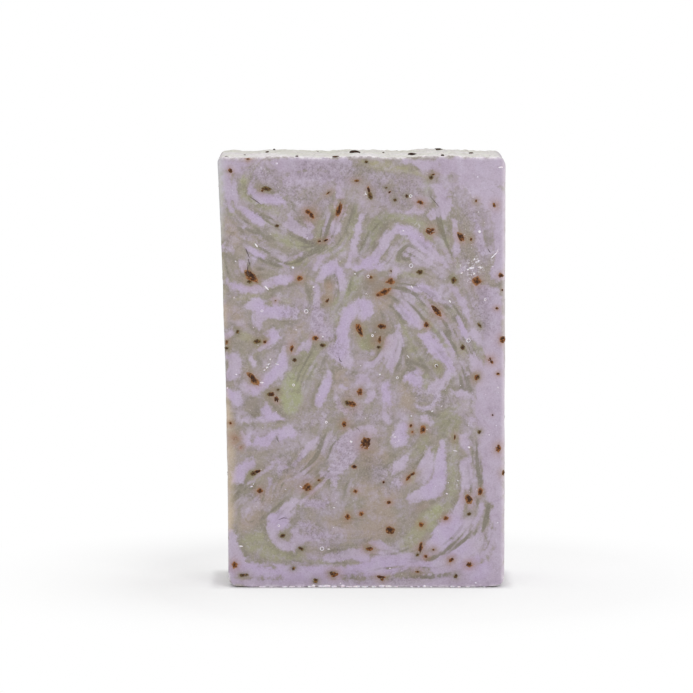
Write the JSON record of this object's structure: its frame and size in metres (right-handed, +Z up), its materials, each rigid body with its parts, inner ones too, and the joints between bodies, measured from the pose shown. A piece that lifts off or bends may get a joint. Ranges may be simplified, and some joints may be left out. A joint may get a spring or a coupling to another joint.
{
  "type": "bar of soap",
  "caption": "Slab of handmade soap cut from a tall loaf, with swirled lavender and grey-green soap and flush flecks of dried herb.",
  "frame": {"origin": "middle of the flat base that the bar stands on, under the middle of the bar's box", "axes": "+Z up along the bar's height, from the base to the poured top; the front cut face looks along -Y; +X is right as seen from the front"},
  "size_m": [0.0589, 0.025, 0.0895],
  "materials": {
    "soap": "waxy satin, lavender swirled with grey-green and taupe",
    "herb": "matte dried herb, dark brown to orange"
  },
  "bodies": {
    "root": {"soap_bar": "soap", "herb_flecks": "herb"}
  },
  "joints": []
}
